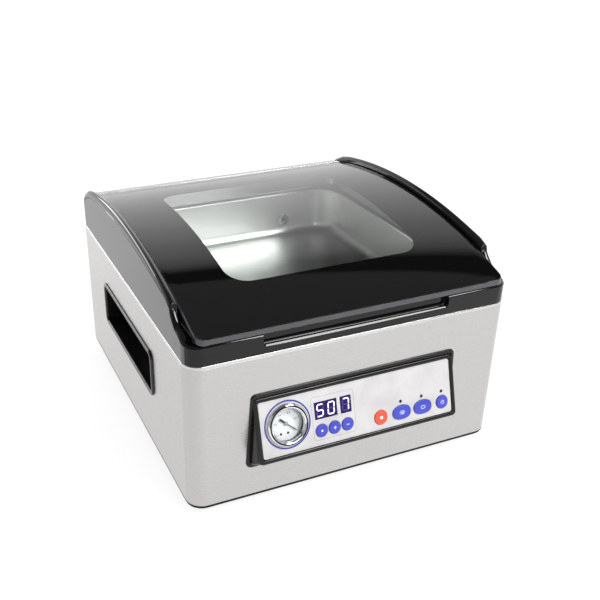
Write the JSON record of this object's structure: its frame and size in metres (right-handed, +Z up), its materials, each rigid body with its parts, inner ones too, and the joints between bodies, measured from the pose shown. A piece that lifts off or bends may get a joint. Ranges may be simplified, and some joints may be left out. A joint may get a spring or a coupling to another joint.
{
  "type": "vacuum packing machine",
  "caption": "Tabletop chamber vacuum sealer: stainless casing, arched hinged lid with a window, deep chamber with a lifting seal bar, and a tilted front panel with gauge, displays and buttons.",
  "frame": {"origin": "centre of the machine's footprint, on the surface that its feet stand on", "axes": "+X to the machine's right seen from the front, +Y from the control panel to the rear, +Z up"},
  "size_m": [0.365, 0.4064, 0.2439],
  "materials": {
    "stainless_sheet": "fine brushed stainless sheet, satin",
    "chamber_steel": "deep-drawn stainless, smooth satin",
    "chrome": "polished chrome",
    "aluminium": "drawn aluminium, satin",
    "zinc_plated_steel": "zinc plated, slightly dull",
    "brass": "machined brass",
    "cast_metal": "cast aluminium, matt",
    "gloss_black": "high gloss black plastic",
    "matte_black": "fine grained black plastic",
    "rubber": "moulded rubber, matt",
    "silicone": "moulded silicone rubber, matt",
    "clear_acrylic": "clear polished acrylic with a black printed border",
    "panel_silver": "silver printed film, satin",
    "display_window": "dark tinted window over light digits",
    "dial_white": "white printed dial",
    "needle_black": "black painted pointer",
    "button_blue": "domed blue button, satin",
    "button_red": "domed red button, satin",
    "lamp_dark": "unlit dark lamp lens",
    "circuit_board": "green circuit board",
    "sealing_tape": "brown non-stick cloth over the heating wire",
    "hose": "pale vacuum hose"
  },
  "bodies": {
    "housing": {"base_tray": "matte_black", "foot_front_left": "rubber", "foot_front_right": "rubber", "foot_rear_left": "rubber", "foot_rear_right": "rubber", "casing": "stainless_sheet", "rear_panel": "stainless_sheet", "top_frame": "gloss_black", "hinge_cover": "stainless_sheet", "hand_recess_left": "matte_black", "hand_recess_right": "matte_black", "vacuum_chamber": "chamber_steel", "hinge_leaf_body": "stainless_sheet", "hinge_pin": "zinc_plated_steel", "lift_cylinder_left": "aluminium", "lift_cylinder_right": "aluminium", "bezel": "gloss_black", "control_panel": "panel_silver", "gauge_housing": "matte_black", "gauge_bezel": "chrome", "gauge_dial": "dial_white", "gauge_lens": "clear_acrylic", "two_digit_display": "display_window", "one_digit_display": "display_window", "indicator_lamp_1": "lamp_dark", "indicator_lamp_2": "lamp_dark", "indicator_lamp_3": "lamp_dark", "control_board": "circuit_board", "vacuum_pump": "cast_metal", "pump_motor": "zinc_plated_steel", "transformer": "zinc_plated_steel", "valve_block": "brass", "suction_fitting": "brass", "suction_hose": "hose", "pump_hose": "hose", "fan_frame": "matte_black", "power_socket": "matte_black", "switch_housing": "matte_black", "lid_switch": "matte_black"},
    "lid": {"lid_panel": "clear_acrylic", "lid_frame": "matte_black", "lid_gasket": "silicone", "pressure_bar_holder": "matte_black", "silicone_bar": "silicone", "hinge_leaf_lid": "stainless_sheet"},
    "seal_bar": {"seal_bar": "aluminium", "heating_strip": "sealing_tape", "guide_pin_left": "zinc_plated_steel", "guide_pin_right": "zinc_plated_steel"},
    "fan_impeller": {"fan_impeller": "matte_black"},
    "gauge_needle": {"gauge_needle": "needle_black"},
    "time_button_1": {"time_button_1": "button_blue"},
    "time_button_2": {"time_button_2": "button_blue"},
    "time_button_3": {"time_button_3": "button_blue"},
    "stop_button": {"stop_button": "button_red"},
    "vacuum_button": {"vacuum_button": "button_blue"},
    "set_button": {"set_button": "button_blue"},
    "power_button": {"power_button": "button_blue"},
    "switch_rocker": {"switch_rocker": "button_red"},
    "lid_switch_plunger": {"lid_switch_plunger": "button_red"}
  },
  "joints": [
    {"name": "lid_hinge", "type": "hinge", "parent": "housing", "child": "lid", "pos_m": [0, 0.17654, 0.2186], "axis": [-1, 0, 0], "range_deg": [0, 62]},
    {"name": "seal_bar_lift", "type": "slide", "parent": "housing", "child": "seal_bar", "axis": [0, 0, 1], "range_m": [0, 0.007]},
    {"name": "fan_spin", "type": "hinge", "parent": "housing", "child": "fan_impeller", "pos_m": [0, 0.18404, 0.0704], "axis": [0, 1, 0], "continuous": true},
    {"name": "gauge_needle_turn", "type": "hinge", "parent": "housing", "child": "gauge_needle", "pos_m": [-0.0805, -0.19187, 0.09411], "axis": [0, -0.9563, 0.2924], "range_deg": [0, 270], "stiffness_Nm_per_rad": 0.0001},
    {"name": "time_button_1_press", "type": "slide", "parent": "housing", "child": "time_button_1", "axis": [0, 0.9563, -0.2924], "range_m": [0, 0.001], "stiffness_N_per_m": 600, "springref_m": -0.001},
    {"name": "time_button_2_press", "type": "slide", "parent": "housing", "child": "time_button_2", "axis": [0, 0.9563, -0.2924], "range_m": [0, 0.001], "stiffness_N_per_m": 600, "springref_m": -0.001},
    {"name": "time_button_3_press", "type": "slide", "parent": "housing", "child": "time_button_3", "axis": [0, 0.9563, -0.2924], "range_m": [0, 0.001], "stiffness_N_per_m": 600, "springref_m": -0.001},
    {"name": "stop_button_press", "type": "slide", "parent": "housing", "child": "stop_button", "axis": [0, 0.9563, -0.2924], "range_m": [0, 0.001], "stiffness_N_per_m": 600, "springref_m": -0.001},
    {"name": "vacuum_button_press", "type": "slide", "parent": "housing", "child": "vacuum_button", "axis": [0, 0.9563, -0.2924], "range_m": [0, 0.001], "stiffness_N_per_m": 600, "springref_m": -0.001},
    {"name": "set_button_press", "type": "slide", "parent": "housing", "child": "set_button", "axis": [0, 0.9563, -0.2924], "range_m": [0, 0.001], "stiffness_N_per_m": 600, "springref_m": -0.001},
    {"name": "power_button_press", "type": "slide", "parent": "housing", "child": "power_button", "axis": [0, 0.9563, -0.2924], "range_m": [0, 0.001], "stiffness_N_per_m": 600, "springref_m": -0.001},
    {"name": "power_rocker_tilt", "type": "hinge", "parent": "housing", "child": "switch_rocker", "pos_m": [-0.084, 0.19754, 0.0524], "axis": [1, 0, 0], "range_deg": [0, 18]},
    {"name": "lid_switch_press", "type": "slide", "parent": "housing", "child": "lid_switch_plunger", "axis": [0, 0, -1], "range_m": [0, 0.0015], "stiffness_N_per_m": 200, "springref_m": -0.002}
  ]
}
